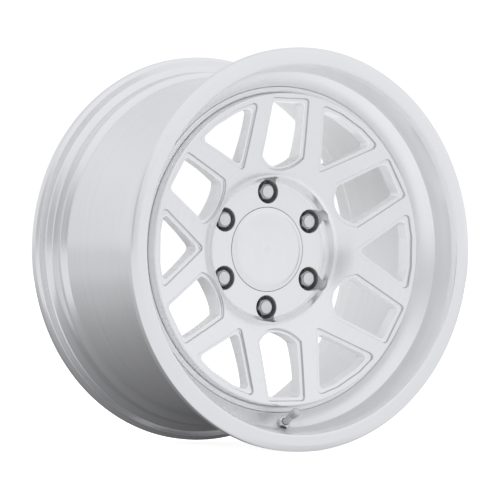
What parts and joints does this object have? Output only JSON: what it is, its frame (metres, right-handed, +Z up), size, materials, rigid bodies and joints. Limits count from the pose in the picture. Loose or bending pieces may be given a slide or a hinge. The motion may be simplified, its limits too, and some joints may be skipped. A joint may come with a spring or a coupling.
{
  "type": "wheel rim",
  "caption": "Forged wheel rim with a dished mesh-spoke centre welded into a deep-lipped barrel, with lug nuts, centre cap and metal tyre valve.",
  "frame": {"origin": "centre of the hub mounting face, half way between the tyre flanges on the wheel's axis", "axes": "+Y along the wheel axis toward the vehicle, so the outer face looks toward -Y; +Z up, with the tyre valve at the bottom"},
  "size_m": [0.48, 0.246, 0.48],
  "materials": {
    "rim_barrel": "machined and brushed, bright",
    "forged_centre": "machined and finely brushed, bright",
    "front_weld_bead": "dressed weld, satin",
    "rear_weld_bead": "rippled weld, satin",
    "centre_cap": "finely turned, satin",
    "cap_retaining_ring": "drawn spring wire",
    "valve_stem_body": "plated, satin",
    "valve_grommet": "moulded, matt",
    "valve_washer": "plated, satin",
    "valve_nut": "plated, satin",
    "valve_core_body": "turned brass",
    "valve_core_seal": "red seal",
    "valve_core_pin": "turned brass",
    "valve_core_poppet_seal": "moulded, matt",
    "valve_core_spring": "drawn wire",
    "valve_cap": "ribbed, plated",
    "valve_cap_gasket": "moulded, matt",
    "lug_nut_1": "chromed, dark reflections",
    "lug_nut_2": "chromed, dark reflections",
    "lug_nut_3": "chromed, dark reflections",
    "lug_nut_4": "chromed, dark reflections",
    "lug_nut_5": "chromed, dark reflections",
    "lug_nut_6": "chromed, dark reflections"
  },
  "bodies": {
    "wheel": {"rim_barrel": "rim_barrel", "forged_centre": "forged_centre", "front_weld_bead": "front_weld_bead", "rear_weld_bead": "rear_weld_bead", "valve_stem_body": "valve_stem_body", "valve_grommet": "valve_grommet", "valve_washer": "valve_washer", "valve_nut": "valve_nut", "valve_core_body": "valve_core_body", "valve_core_seal": "valve_core_seal", "valve_core_spring": "valve_core_spring"},
    "cap": {"centre_cap": "centre_cap", "cap_retaining_ring": "cap_retaining_ring"},
    "nut_1": {"lug_nut_1": "lug_nut_1"},
    "nut_2": {"lug_nut_2": "lug_nut_2"},
    "nut_3": {"lug_nut_3": "lug_nut_3"},
    "nut_4": {"lug_nut_4": "lug_nut_4"},
    "nut_5": {"lug_nut_5": "lug_nut_5"},
    "nut_6": {"lug_nut_6": "lug_nut_6"},
    "valve_dust_cap": {"valve_cap": "valve_cap", "valve_cap_gasket": "valve_cap_gasket"},
    "valve_plunger": {"valve_core_pin": "valve_core_pin", "valve_core_poppet_seal": "valve_core_poppet_seal"}
  },
  "joints": [
    {"name": "cap_pull_off", "type": "slide", "parent": "wheel", "child": "cap", "axis": [0, -1, 0], "range_m": [0, 0.115]},
    {"name": "nut_1_turn", "type": "hinge", "parent": "wheel", "child": "nut_1", "pos_m": [0.06049, -0.03, 0.03492], "axis": [0, 1, 0], "continuous": true},
    {"name": "nut_2_turn", "type": "hinge", "parent": "wheel", "child": "nut_2", "pos_m": [0, -0.03, 0.06985], "axis": [0, 1, 0], "continuous": true},
    {"name": "nut_3_turn", "type": "hinge", "parent": "wheel", "child": "nut_3", "pos_m": [-0.06049, -0.03, 0.03492], "axis": [0, 1, 0], "continuous": true},
    {"name": "nut_4_turn", "type": "hinge", "parent": "wheel", "child": "nut_4", "pos_m": [-0.06049, -0.03, -0.03492], "axis": [0, 1, 0], "continuous": true},
    {"name": "nut_5_turn", "type": "hinge", "parent": "wheel", "child": "nut_5", "pos_m": [0, -0.03, -0.06985], "axis": [0, 1, 0], "continuous": true},
    {"name": "nut_6_turn", "type": "hinge", "parent": "wheel", "child": "nut_6", "pos_m": [0.06049, -0.03, -0.03492], "axis": [0, 1, 0], "continuous": true},
    {"name": "valve_cap_pull_off", "type": "slide", "parent": "wheel", "child": "valve_dust_cap", "axis": [0.0102, -0.8746, 0.4847], "range_m": [0, 0.03]},
    {"name": "valve_pin_press", "type": "slide", "parent": "wheel", "child": "valve_plunger", "axis": [-0.0102, 0.8746, -0.4847], "range_m": [0, 0.0012], "stiffness_N_per_m": 900, "springref_m": -0.001}
  ]
}
